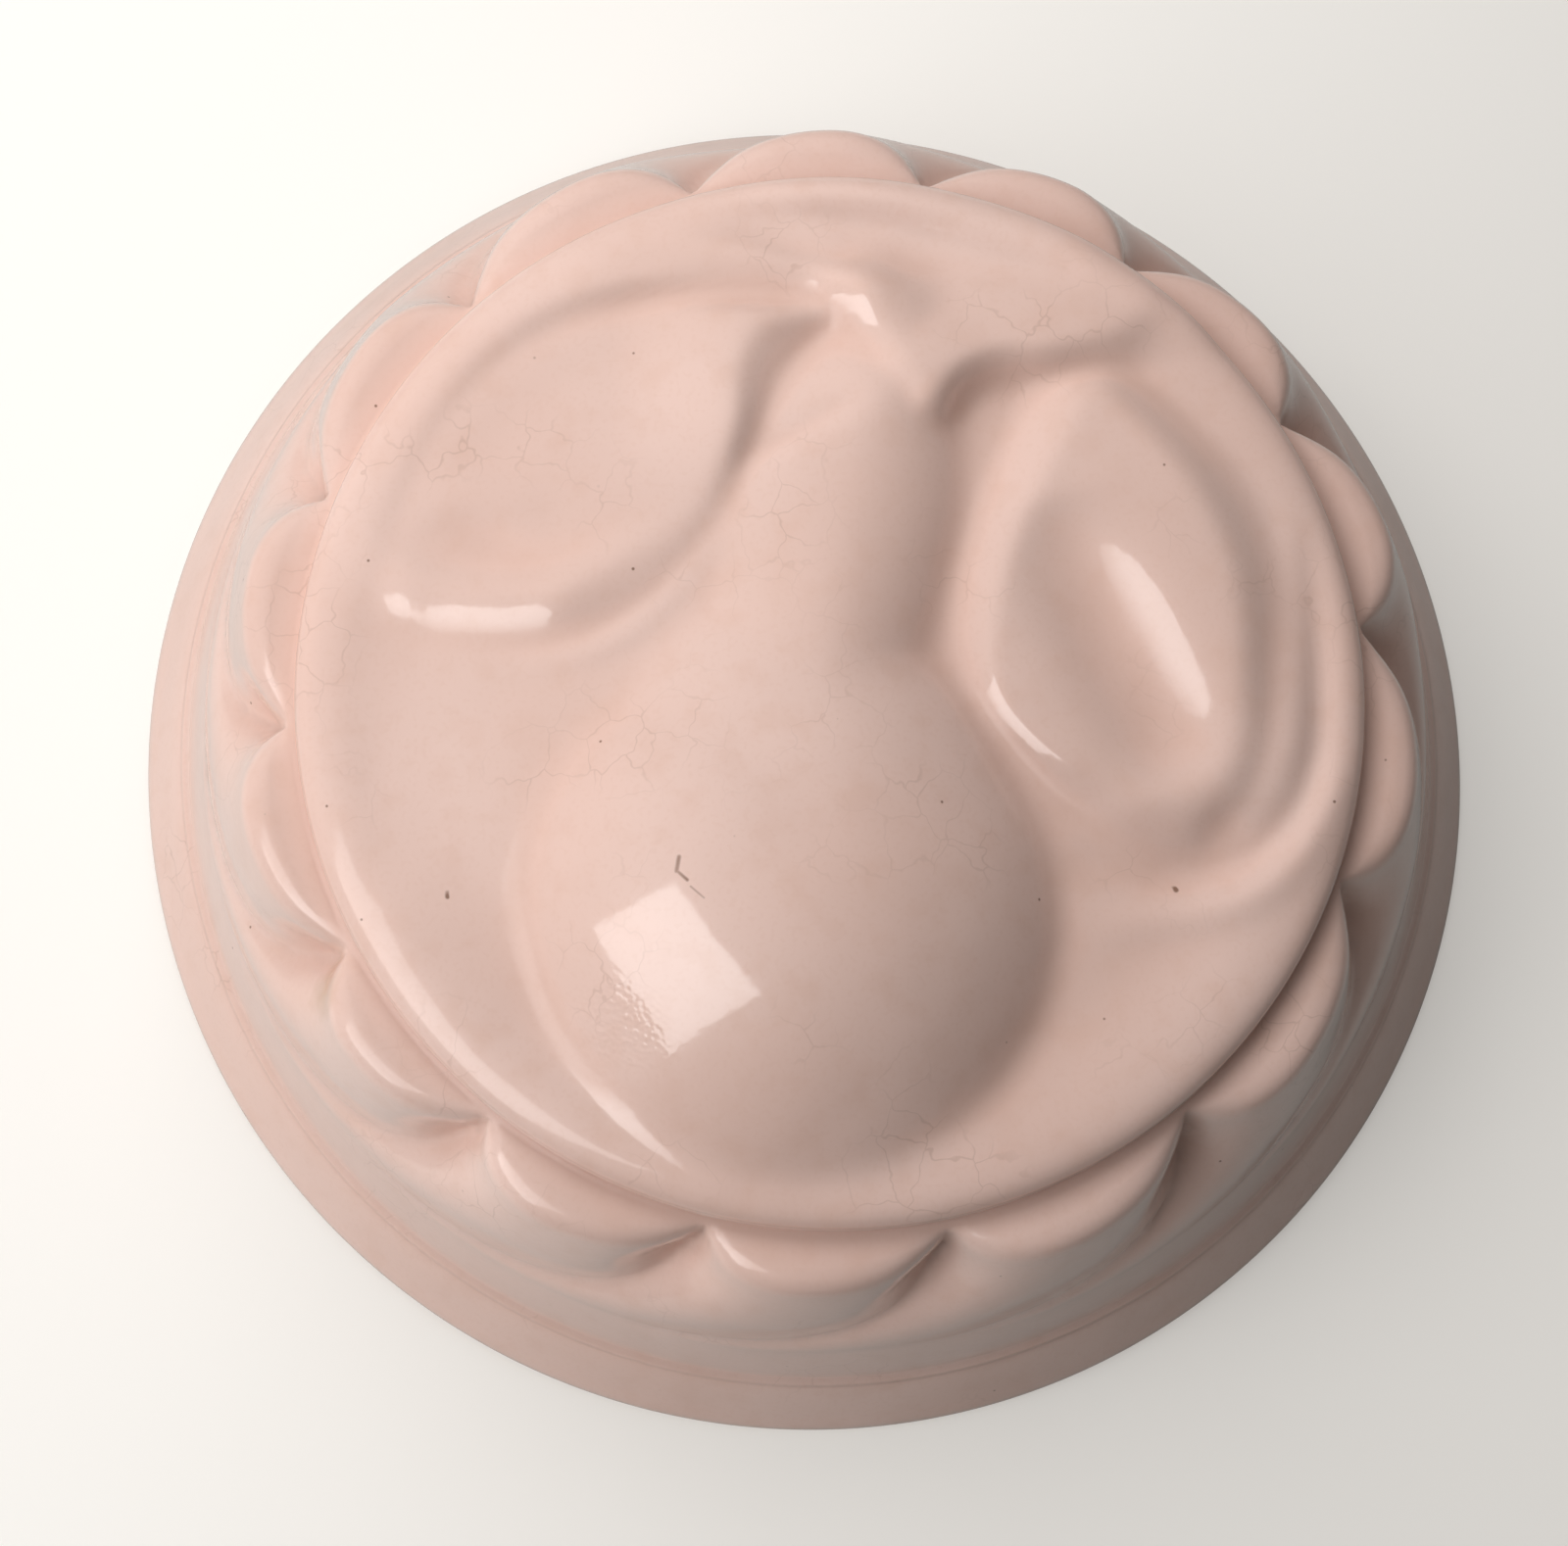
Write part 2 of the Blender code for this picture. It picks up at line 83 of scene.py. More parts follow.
# from under the shoulder ring to the lobed wall, then from the wall's foot round the rim: radius, level
undercutPoints = [(67.65, 51.0), (67.2, 50.35), (67.3, 49.9), (68.3, 49.7)]
collarPoints = [
    (87.3, 13.5), (88.15, 13.1), (88.6, 12.45), (88.45, 11.95), (88.55, 11.6), (89.0, 11.25),
    (90.6, 9.2), (93.0, 5.7), (94.5, 3.5), (95.0, 2.1), (94.7, 1.0), (93.9, 0.25), (93.2, 0.0),
]
insidePoints = [(88.6, 0.0), (87.7, 0.5), (87.1, 1.6), (85.2, 5.6), (83.4, 9.4)]

mm = (cadBox[1][0] - cadBox[0][0]) / mouldSettings["rimDiameter"]


def ringTilt(radius):
    # sine of the ring's slope, in its wide rounding and in its tighter bend
    s = mouldSettings
    out = np.clip(radius, s["ringStart"], s["ringEnd"])
    wide = (np.minimum(out, s["ringBend"]) - s["ringStart"]) / s["ringRounding"]
    return wide, np.maximum(out - s["ringBend"], 0.0) / s["bendRounding"]


def ringDrop(radius):
    s = mouldSettings
    wide, tight = ringTilt(radius)
    bend = (s["ringBend"] - s["ringStart"]) / s["ringRounding"]
    drop = s["ringRounding"] * (1.0 - np.sqrt(1.0 - wide ** 2))
    turned = np.sqrt(1.0 - bend ** 2) - np.sqrt(1.0 - np.minimum(bend + tight, s["steepestBend"]) ** 2)
    return drop + np.where(tight > 0.0, s["bendRounding"] * turned, 0.0)


def smoothStep(value):
    value = np.clip(value, 0.0, 1.0)
    return value * value * (3.0 - 2.0 * value)


def fade(value, span):
    start, length = span            # from 0 at the start to 1 past the length, which may run backwards
    return smoothStep((value - start) / length)


def smoothRows(rows, closed=False, steps=mouldSettings["curveSteps"]):
    rows = np.array(rows, float)       # a smooth curve through the rows, all columns together
    count = len(rows)
    curve = []
    for index in range(count if closed else count - 1):
        picks = [index - 1, index, index + 1, index + 2]
        picks = [pick % count if closed else min(max(pick, 0), count - 1) for pick in picks]
        before, start, end, after = rows[picks]
        for t in np.arange(steps) / steps:
            pull = end - before
            bend = 2.0 * before - 5.0 * start + 4.0 * end - after
            twist = 3.0 * start - before - 3.0 * end + after
            curve.append(start + 0.5 * (pull * t + bend * t ** 2 + twist * t ** 3))
    if not closed:
        curve.append(rows[-1])
    return np.array(curve)


def evenSpacing(points, spacing):
    points = np.array(points, float)
    run = np.concatenate([[0.0], np.cumsum(np.hypot(*np.diff(points, axis=0).T))])
    count = max(2, int(round(run[-1] / spacing)) + 1)
    stops = np.linspace(0.0, run[-1], count)
    return np.c_[np.interp(stops, run, points[:, 0]), np.interp(stops, run, points[:, 1])]


# relief of the top face: a pear between a leaf and a round fruit, in millimetres round the axis.
# A span is a start and a length, a plane is a level, the place where it has it, and its two slopes
reliefSettings = {
    "gridStep": 0.5,
    "gridReach": 75.0,
    "ground": 53.5,
    "toRight": (-10.0, 50.0),
    "toRing": (50.0, 13.0),
    "ringLift": (0.7, 0.9),                 # at the ring all round, and more on the right
    "sag": (0.3, (40.0, 5.0), (22.0, 34.0)),    # under the round fruit: depth, centre, reach
    "leftSlope": 0.13,                      # the ground climbs from the left ring towards the pear
    "leftSlopeStart": -57.0,
    "neckSlopeLoss": 0.062,
    "toNeck": (-14.0, 30.0),
    "slopeFront": (-46.0, 30.0),
    "slopeBack": (54.0, -30.0),
    "slopeEnd": (-8.0, 14.0),
    "pearCurve": 1.42,                      # sphere radius of a pear cap over its own radius
    "pearNeck": (-30.0, 14.0),
    "pearNeckRounding": 0.2,                # the neck's left side is a cone with a rounded top
    "pearLeftPart": {"belly": (0.15, 0.9), "neck": (0.5, 0.62)},
    "pearBlur": 1.2,
    "leafRise": (0.2, 0.6),
    "leafAcross": (-50.0, 34.0),
    "leafStalkRise": 2.5,
    "leafStalkAcross": (-28.0, 18.0),
    "leafStalkAlong": (20.0, 16.0),
    "stalkFloor": (58.1, 0.15, 0.022),      # level at the crease, then its climb away from it
    "crease": ((-4.0, 32.5), (-0.5, 0.86)),
    "upperLeaf": (58.8, (8.0, 41.0), (-0.03, 0.0)),
    "upperLeafFall": (0.34, 0.008, 0.14),   # slope towards the ring, its loss to the right, and the least
    "upperLeafReach": 14.0,
    "upperLeafEdge": 0.8,
    "fruit": (56.6, (30.0, 5.0), (0.05, 0.04)),
    "fruitBack": (22.0, 18.0),
    "fruitEdge": 0.7,
}
pearRows = [  # x, y, radius, level of the crest
    (-6.2, -28.0, 32.2, 66.4), (-4.4, -28.5, 31.8, 66.4), (-4.6, -19.0, 27.4, 64.8), (-4.4, -9.0, 21.2, 62.4),
    (-3.2, 0.0, 15.4, 60.8), (-1.6, 8.0, 14.2, 59.8), (0.0, 16.0, 14.4, 59.2), (1.6, 24.0, 14.6, 58.8),
    (3.4, 30.0, 13.0, 58.6), (5.4, 36.0, 10.6, 58.5),
]
leafOutline = [  # x, y, width of the rounded edge
    (-57.0, 9.0, 3.0), (-56.0, 18.0, 4.0), (-52.5, 29.0, 4.0), (-45.0, 39.0, 4.0), (-34.0, 46.5, 4.0),
    (-20.0, 50.8, 4.0), (-6.0, 50.5, 4.0), (1.5, 48.3, 3.6), (-3.0, 44.8, 6.0), (-7.2, 39.5, 6.0),
    (-9.4, 33.0, 3.6), (-12.0, 27.0, 2.4), (-15.6, 20.4, 2.0), (-21.0, 13.6, 2.0), (-28.0, 8.2, 2.0),
    (-37.0, 5.6, 2.0), (-46.0, 5.4, 2.0), (-53.0, 6.0, 2.2),
]
stalkLeafOutline = [
    (-11.6, 28.0, 1.6), (-3.8, 32.0, 1.8), (2.6, 36.0, 2.4), (5.4, 40.0, 4.0), (4.0, 46.0, 4.0),
    (-2.0, 48.0, 4.0), (-8.0, 43.0, 3.0), (-11.2, 34.0, 2.4),
]
upperLeafOutline = [
    (-3.0, 53.0, 6.0), (-2.6, 48.5, 8.0), (0.0, 42.5, 8.0), (4.0, 36.0, 7.0), (8.5, 31.0, 7.0),
    (14.6, 32.0, 5.0), (18.6, 37.2, 5.0), (22.4, 39.0, 5.0), (27.0, 39.2, 4.5), (32.0, 39.8, 5.0),
    (38.0, 41.0, 6.0), (44.0, 43.0, 8.0), (53.0, 46.0, 8.0), (43.0, 58.0, 6.0), (28.0, 66.5, 5.0),
    (14.0, 69.5, 5.0), (2.0, 68.0, 5.0), (-9.0, 62.0, 6.0),
]
roundFruitOutline = [
    (23.5, 36.0, 8.0), (19.4, 26.0, 7.0), (15.8, 14.0, 6.0), (15.2, 5.0, 5.0), (18.2, -3.0, 2.6),
    (23.6, -9.6, 2.6), (29.8, -16.0, 6.0), (37.0, -20.2, 6.5), (45.0, -21.4, 7.0), (52.6, -17.6, 8.0),
    (56.6, -9.0, 8.0), (57.6, 2.0, 8.0), (57.4, 11.0, 8.0), (55.4, 20.0, 8.0), (51.0, 29.0, 8.0),
    (44.0, 36.6, 7.0), (37.0, 42.0, 6.0), (31.0, 43.0, 7.0), (26.0, 41.0, 8.0),
]
clayLines = [  # x, y, rise, half width
    # turned-up lower lip of the left leaf
    [(-55.8, 15.5, 0.4, 3.4), (-53, 12.4, 0.9, 3.8), (-47, 10.9, 1.15, 3.5), (-40, 10.6, 1.45, 3.5),
     (-34, 11.4, 1.75, 3.4), (-28, 14.4, 1.1, 3.0), (-21, 19.5, 0.2, 2.2)],
    # thin fillet below the left leaf
    [(-15, 17.5, 0.2, 1.2), (-21, 10.0, 0.4, 1.2), (-28, 4.6, 0.5, 1.2), (-36, 1.8, 0.3, 1.2),
     (-44, 1.0, 0.1, 1.2)],
    # low ridge and dimple inside the left leaf
    [(-50, 22.5, 0.2, 2.6), (-46, 24.0, 0.5, 2.6), (-40, 22.8, 0.3, 2.6)],
    [(-48, 17.0, -0.2, 3.5), (-43, 17.0, -0.5, 3.5), (-37, 16.0, -0.2, 3.5)],
    # crease between the neck and the stalk
    [(-11.4, 28.2, -0.5, 1.0), (-6.0, 31.0, -0.7, 1.1), (-1.0, 33.8, -0.6, 1.1), (3.0, 36.4, -0.2, 1.1)],
    # end of the stalk, and the knob on it
    [(1.0, 56.0, 0.3, 4.0), (4.6, 53.0, 1.8, 4.2), (8.4, 49.6, 1.8, 4.2), (11.5, 46.0, 0.3, 4.0)],
    [(0.9, 51.2, 1.2, 4.4), (2.9, 49.6, 1.2, 4.4)],
    # ridge from the back ring to the stalk
    [(-22, 58.0, 0.1, 2.0), (-14, 56.6, 1.0, 2.0), (-7, 54.9, 1.5, 2.0), (-1, 52.9, 1.1, 2.2),
     (3, 51.0, 0.3, 2.2)],
    # groove below the shoulder ring, back right
    [(-12, 61.2, -0.2, 1.6), (-5, 61.4, -0.5, 1.6), (4, 61.0, -0.7, 1.6), (12, 59.4, -0.6, 1.7),
     (21, 56.4, -0.3, 1.9), (29, 53.4, -0.2, 2.0), (36.5, 49.8, -0.1, 2.0)],
    # narrow leaf outside the right fruit
    [(57.6, 19, 0.1, 1.4), (58.0, 10, 0.3, 1.5), (57.8, 2, 0.7, 1.6), (57.0, -7, 0.9, 1.6),
     (55.0, -13, 0.8, 1.6), (52.2, -17.5, 0.2, 1.3)],
    # its outer groove
    [(60.2, 21, -0.2, 1.4), (61.2, 10, -0.9, 1.4), (61.4, 0, -1.2, 1.4), (60.8, -8, -1.3, 1.4),
     (58.6, -15.0, -1.3, 1.5), (54, -20.4, -1.1, 1.7), (48, -23.2, -0.9, 2.2), (40, -24.2, -0.8, 2.8),
     (32, -23.0, -0.4, 2.8)],
    # pit at the fruit's lower right
    [(49, -17.5, -0.7, 1.8), (47, -19, -0.7, 1.8)],
    # soft ridge in front of the right fruit
    [(33, -30.5, 0.3, 2.6), (42, -29.4, 0.8, 2.6), (51, -26.8, 1.2, 2.4), (57.6, -21.4, 1.0, 2.2),
     (62.6, -12.5, 0.5, 2.0)],
    # notch in the upper leaf
    [(38.5, 44, -0.2, 2.4), (41.0, 46, -0.3, 2.6), (43.6, 48.4, -0.2, 2.6)],
    # hollow of the right fruit
    [(27.5, 24, -0.4, 7.0), (29.5, 17, -2.4, 7.0), (33.5, 9, -3.4, 7.0), (37.5, 1.5, -3.4, 7.0),
     (41.5, -6.5, -2.8, 7.0), (44, -13, -0.5, 7.0)],
]
claySteps = [  # x, y, rise of the left side going along, width of the step, reach of the raised side
    # shoulder ring above the upper leaf, back right
    [(-14, 62.4, 0.3, 3.4, 6.0), (-5, 62.8, 1.3, 3.4, 6.0), (4, 62.4, 1.8, 3.6, 6.0),
     (12, 60.8, 1.6, 4.2, 6.0), (21, 57.8, 1.1, 4.8, 6.0), (29, 54.8, 0.9, 4.8, 6.0),
     (36.5, 51.2, 0.7, 4.8, 6.0), (42, 48.4, 0.3, 4.8, 6.0)],
    # ledge above the left leaf
    [(-57.6, 14, 0.2, 2.4, 6.0), (-55.8, 21, 0.3, 2.4, 6.0), (-51.7, 31.8, 0.5, 2.4, 6.0),
     (-45, 41, 0.7, 2.4, 6.0), (-36.6, 47.2, 1.0, 2.4, 6.0), (-28, 50.4, 1.5, 2.4, 6.0),
     (-20, 51.4, 1.7, 2.6, 6.0), (-8, 51.0, 1.2, 2.6, 6.0), (2, 49.5, 0.3, 2.6, 6.0)],
]


def plane(x, y, settings):
    level, (atX, atY), (slopeX, slopeY) = settings
    return level + slopeX * (x - atX) + slopeY * (y - atY)


def edgeProfile(x, y, outline, roundness=0.6):
    curve = smoothRows(outline, closed=True, steps=6)
    nearest = np.full(x.shape, np.inf)
    width = np.ones(x.shape)
    inside = np.zeros(x.shape, bool)
    for (ax, ay, aWidth), (bx, by, bWidth) in zip(curve, np.roll(curve, -1, axis=0)):
        dx, dy = bx - ax, by - ay
        along = np.clip(((x - ax) * dx + (y - ay) * dy) / (dx * dx + dy * dy), 0.0, 1.0)
        distance = np.hypot(x - ax - along * dx, y - ay - along * dy)
        closer = distance < nearest
        nearest = np.where(closer, distance, nearest)
        width = np.where(closer, aWidth + along * (bWidth - aWidth), width)
        if ay != by:
            inside ^= ((ay > y) != (by > y)) & (x < ax + dx * (y - ay) / dy)
    share = np.clip(nearest / width, 0.0, 1.0)
    rise = roundness * smoothStep(share) + (1.0 - roundness) * np.sqrt(1.0 - (1.0 - share) ** 2)
    return np.where(inside, rise, 0.0)


def nearestOnRows(x, y, rows):
    curve = smoothRows(rows)
    nearest = np.full(x.shape, np.inf)
    side = np.zeros(x.shape)
    values = np.zeros(x.shape + (curve.shape[1] - 2,))
    for start, end in zip(curve[:-1], curve[1:]):
        dx, dy = end[:2] - start[:2]
        along = np.clip(((x - start[0]) * dx + (y - start[1]) * dy) / (dx * dx + dy * dy), 0.0, 1.0)
        awayX, awayY = x - start[0] - along * dx, y - start[1] - along * dy
        distance = np.hypot(awayX, awayY)
        closer = distance < nearest
        nearest = np.where(closer, distance, nearest)
        side = np.where(closer, np.sign(dx * awayY - dy * awayX), side)
        values = np.where(closer[..., None], start[2:] + along[..., None] * (end[2:] - start[2:]), values)
    return nearest * side, np.moveaxis(values, -1, 0)


def clayLine(x, y, rows):
    away, (rise, width) = nearestOnRows(x, y, rows)
    return rise * np.exp(-(away / width) ** 2)


def clayStep(x, y, rows):
    away, (rise, width, reach) = nearestOnRows(x, y, rows)
    return rise * smoothStep(away / width + 0.5) * np.exp(-(np.maximum(away, 0.0) / reach) ** 2)


def blurGrid(grid, reach):
    count = int(math.ceil(3.0 * reach / reliefSettings["gridStep"]))
    weights = np.exp(-0.5 * (np.arange(-count, count + 1) * reliefSettings["gridStep"] / reach) ** 2)
    weights = weights / weights.sum()
    for _ in range(2):
        padded = np.pad(grid, ((0, 0), (count, count)), mode="edge")
        grid = sum(weight * padded[:, i:i + grid.shape[1]] for i, weight in enumerate(weights)).T
    return grid


def pearLevel(x, y, ground, climb):
    # caps along the pear's length; a cap's left side stands on the climbing ground
    s = reliefSettings
    level = ground + climb * (1.0 - fade(x, s["slopeEnd"]))
    curve = s["pearCurve"]
    flat = curve ** 2 - 1.0
    rounding = s["pearNeckRounding"]
    coneTop = math.hypot(1.0, rounding)
    for cx, cy, reach, crest in smoothRows(pearRows):
        across = (x - cx) / reach
        out = np.hypot(across, (y - cy) / reach)
        onNeck = fade(cy, s["pearNeck"])
        share, loss = (onNeck * neck + (1.0 - onNeck) * belly
                       for belly, neck in zip(s["pearLeftPart"]["belly"], s["pearLeftPart"]["neck"]))
        leftPart = smoothStep(share - loss * across / np.maximum(out, 1e-6))
        roundSide = (np.sqrt(np.maximum(curve ** 2 - out ** 2, flat)) - flat ** 0.5) / (curve - flat ** 0.5)
        coneSide = np.maximum(coneTop - np.hypot(out, rounding), 0.0) / (coneTop - rounding)
        leftSide = onNeck * coneSide + (1.0 - onNeck) * roundSide
        foot = ground + climb * leftPart
        swell = leftPart * leftSide + (1.0 - leftPart) * roundSide
        level = np.maximum(level, np.where(swell > 0.0, foot + (crest - foot) * swell, 0.0))
    return level


def groundLevel(x, y):
    s = reliefSettings
    lift, liftRight = s["ringLift"]
    ground = s["ground"] + (lift + liftRight * fade(x, s["toRight"])) * fade(np.hypot(x, y), s["toRing"])
    depth, centre, reach = s["sag"]
    return ground - depth * np.exp(-((x - centre[0]) / reach[0]) ** 2 - ((y - centre[1]) / reach[1]) ** 2)


def leftClimb(x, y):
    s = reliefSettings
    slope = s["leftSlope"] - s["neckSlopeLoss"] * fade(y, s["toNeck"])
    run = np.clip(x, s["leftSlopeStart"], 0.0) - s["leftSlopeStart"]
    return slope * run * fade(y, s["slopeFront"]) * fade(y, s["slopeBack"])


def reliefGrid(x, y):
    s = reliefSettings
    ground = groundLevel(x, y)
    climb = leftClimb(x, y)
    level = blurGrid(pearLevel(x, y, ground, climb), s["pearBlur"])

    # left leaf, and the hollow beside the stalk
    leafRise = s["leafRise"][0] + s["leafRise"][1] * fade(x, s["leafAcross"])
    leafRise = leafRise + s["leafStalkRise"] * fade(x, s["leafStalkAcross"]) * fade(y, s["leafStalkAlong"])
    leafTop = np.maximum(ground + climb + leafRise, level)
    fromCrease = np.maximum(plane(x, y, (0.0,) + s["crease"]), 0.0)
    floorLevel, floorSlope, floorCurve = s["stalkFloor"]
    stalkFloor = floorLevel + floorSlope * fromCrease + floorCurve * fromCrease ** 2
    level = level + np.minimum(stalkFloor - level, 0.0) * edgeProfile(x, y, stalkLeafOutline)
    level = level + (leafTop - level) * edgeProfile(x, y, leafOutline)

    # upper leaf, which falls towards the ring
    fromX, fromY = s["upperLeaf"][1]
    steepest, loss, least = s["upperLeafFall"]
    fall = np.clip(steepest - loss * (x - fromX), least, steepest)
    upperTop = plane(x, y, s["upperLeaf"]) - fall * np.clip(y - fromY, 0.0, s["upperLeafReach"])
    edge = edgeProfile(x, y, upperLeafOutline, s["upperLeafEdge"])
    level = np.maximum(level, ground + (upperTop - ground) * edge)

    fruitTop = plane(x, y, s["fruit"]) - fade(y, s["fruitBack"])
    edge = edgeProfile(x, y, roundFruitOutline, s["fruitEdge"])
    level = np.maximum(level, ground + (fruitTop - ground) * edge)
    for rows in clayLines:
        level = level + clayLine(x, y, rows)
    for rows in claySteps:
        level = level + clayStep(x, y, rows)
    return level - ringDrop(np.hypot(x, y))


def readGrid(grid, x, y):
    u = (x + reliefSettings["gridReach"]) / reliefSettings["gridStep"]
    v = (y + reliefSettings["gridReach"]) / reliefSettings["gridStep"]
    i, j = u.astype(int), v.astype(int)
    fu, fv = u - i, v - j
    low = grid[j, i] * (1 - fu) + grid[j, i + 1] * fu
    high = grid[j + 1, i] * (1 - fu) + grid[j + 1, i + 1] * fu
    return low * (1 - fv) + high * fv


# the fourteen lobes: each one's edge below and on its right is a quarter ellipse that bends under it
lobeSettings = {
    # azimuths of the edges where they stand at edgeLevel, in degrees from +X towards +Y
    "edges": [5.9, 30.4, 54.4, 78.4, 103.9, 131.4, 157.6, 182.6, 207.4, 230.2, 255.2, 280.5, 308.4, 337.9],
    "edgeLevel": 41.0,
    "ellipseTop": 48.0,
    "ellipseHeight": 23.0,
    "ellipseWidth": 27.0,           # degrees
    "crest": 0.38,                  # where the crest lies between two edges
    "rise": 5.4,
    "valley": 1.2,
    "valleySpan": (28.0, 14.0),
    "shoulder": (50.2, 3.5, 2.6),   # level, reach down, fullness
    "footSpan": (12.5, 34.0),       # the lobes die away evenly towards the foot
    "furrowSpan": (20.0, 17.0),     # and so do the furrows between them
    "evenShare": 0.56,
    "rightPower": 0.75,
    "leftPower": 0.62,
    "pit": (42.0, 4.6, 4.4, 2.1),   # level, reach up and across, depth
    "pitPlace": 0.06,               # share of a lobe that its pit lies before the next edge
    "degreeLength": 1.27,
}


def edgeTurn(level):
    down = np.clip((lobeSettings["ellipseTop"] - level) / lobeSettings["ellipseHeight"], 0.0, 1.0)
    return lobeSettings["ellipseWidth"] * np.sqrt(1.0 - down ** 2)


def lobeSwell(azimuth, level):
    s = lobeSettings
    edges = np.array(s["edges"])
    edges = np.concatenate([[edges[-1] - 360.0], edges, [edges[0] + 360.0]])
    turned = azimuth - edgeTurn(level) + edgeTurn(np.array(s["edgeLevel"]))
    turned = (turned - edges[0]) % 360.0 + edges[0]
    spot = np.clip(np.searchsorted(edges, turned, side="right") - 1, 0, len(edges) - 2)
    width = edges[spot + 1] - edges[spot]
    across = (turned - edges[spot]) / width
    crest = s["crest"]
    onRight = across > crest
    out = np.where(onRight, (across - crest) / (1.0 - crest), (crest - across) / crest)
    body = np.clip(1.0 - out ** 2, 0.0, 1.0) ** np.where(onRight, s["rightPower"], s["leftPower"])
    body = s["evenShare"] + (body - s["evenShare"]) * fade(level, s["furrowSpan"])
    shoulder, down, fullness = s["shoulder"]
    top = 1.0 - (1.0 - np.clip((shoulder - level) / down, 0.0, 1.0)) ** fullness
    foot = np.clip((level - s["footSpan"][0]) / s["footSpan"][1], 0.0, 1.0)
    pitLevel, pitUp, pitAcross, pitDepth = s["pit"]
    toPit = np.minimum(across + s["pitPlace"], np.abs(1.0 - s["pitPlace"] - across))
    toPit = toPit * width * s["degreeLength"]
    pit = pitDepth * np.exp(-(toPit / pitAcross) ** 2 - ((level - pitLevel) / pitUp) ** 2)
    valley = s["valley"] * fade(level, s["valleySpan"])
    return ((s["rise"] + valley) * body - valley) * top * foot - pit


def wallNormal():
    (topRadius, topLevel), (footRadius, footLevel) = mouldSettings["wallTop"], mouldSettings["wallFoot"]
    length = math.hypot(topRadius - footRadius, topLevel - footLevel)
    return (topLevel - footLevel) / length, (footRadius - topRadius) / length


def wallLine(inset):
    (topRadius, topLevel), (footRadius, footLevel) = mouldSettings["wallTop"], mouldSettings["wallFoot"]
    normal = wallNormal()
    line = []
    for share in np.linspace(1.0, 0.0, mouldSettings["wallSteps"]):
        out = mouldSettings["wallBulge"] * math.sin(math.pi * share) - inset
        line.append((footRadius + (topRadius - footRadius) * share + out * normal[0],
                     footLevel + (topLevel - footLevel) * share + out * normal[1]))
    return line


def ringCorner():
    s = mouldSettings
    edgeLevel = s["topLevel"] - float(ringDrop(s["topRadius"]))
    tilt = math.asin(sum(ringTilt(s["topRadius"])))
    corner = []
    for angle in np.linspace(tilt, math.radians(s["cornerEnd"]), s["cornerSteps"]):
        across = math.sin(angle) - math.sin(tilt)
        up = math.cos(angle) - math.cos(tilt)
        corner.append((s["topRadius"] + s["cornerRounding"] * across, edgeLevel + s["cornerRounding"] * up))
    return corner


def halfSection():
    # from the middle of the top over the outside, round the rim and up the inside, each point with its kind
    s = mouldSettings
    gap = s["spacing"]
    steps = s["curveSteps"]
    wall = wallLine(0.0)
    insideWall = wallLine(s["thickness"])[::-1]
    ceiling = s["topLevel"] - s["thickness"]
    coveRadius = insideWall[-3][0]
    cove = insideWall[-4:-2] + [(coveRadius - inwards, ceiling - below) for inwards, below in s["cove"]]
    parts = [
        ("top", evenSpacing([(0.0, s["topLevel"]), (s["topRadius"], s["topLevel"])], gap["outside"])),
        ("corner", evenSpacing(smoothRows(ringCorner() + undercutPoints + wall[:1]), gap["corner"])[1:-1]),
        ("wall", evenSpacing(wall, gap["outside"])),
        ("collar", evenSpacing(smoothRows(wall[-2:] + collarPoints)[steps:], gap["rim"])[1:]),
        ("plain", evenSpacing([collarPoints[-1], insidePoints[0]], gap["foot"])[1:-1]),
        ("plain", evenSpacing(smoothRows(insidePoints + insideWall[:2])[:-steps], gap["rimInside"])[:-1]),
        ("insideWall", evenSpacing(insideWall[:-2], gap["inside"])),
        ("plain", evenSpacing(smoothRows(cove)[steps:], gap["rimInside"])[1:]),
        ("inside", evenSpacing([cove[-1], (0.0, ceiling)], gap["inside"])[1:]),
    ]
    section = np.concatenate([points for _, points in parts])
    kinds = np.concatenate([[kind] * len(points) for kind, points in parts])
    return section, kinds


def turnedShell(name, section):
    bpy.ops.object.select_all(action="DESELECT")
    bpy.ops.mesh.primitive_plane_add(size=mm, location=(0.0, 0.0, 0.0))
    shell = bpy.context.active_object
    shell.name = name
    shell.data.name = name
    bpy.ops.object.mode_set(mode="EDIT")
    bpy.ops.mesh.select_all(action="SELECT")
    bpy.ops.mesh.merge(type="CENTER")
    bpy.ops.transform.translate(value=(section[0][0] * mm, 0.0, section[0][1] * mm))
    for step in np.diff(section, axis=0):
        move = (float(step[0]) * mm, 0.0, float(step[1]) * mm)
        bpy.ops.mesh.extrude_region_move(TRANSFORM_OT_translate={"value": move})
    bpy.ops.mesh.select_all(action="SELECT")
    bpy.ops.mesh.spin(steps=mouldSettings["turnSteps"], angle=2.0 * math.pi, center=(0, 0, 0), axis=(0, 0, 1))
    bpy.ops.mesh.select_all(action="SELECT")
    bpy.ops.mesh.remove_doubles(threshold=mouldSettings["mergeReach"] * mm)
    bpy.ops.mesh.normals_make_consistent(inside=False)
    bpy.ops.object.mode_set(mode="OBJECT")
    return shell


# painted shade: how much the glaze colour darkens in creases, under the shoulder ring, between the lobes'
# tops and in the collar's crease, from 0 to 1, kept as the point attribute "hollow"; the coat thins there too
paintedShadeSettings = {
    "wallSwell": (0.9, -2.4),       # span of the lobes' swell, down which the painted shade deepens
    "wallSpan": (24.0, 14.0),
    "topBlurs": (2.2, 0.9),         # a hollow lies below its wider surroundings
    "topDepth": 0.26,
    "topSpan": (60.0, -4.0),
    "undercutSpan": (51.6, -1.4),
    "collar": (12.2, 0.9, 0.6),     # level, reach, amount
}


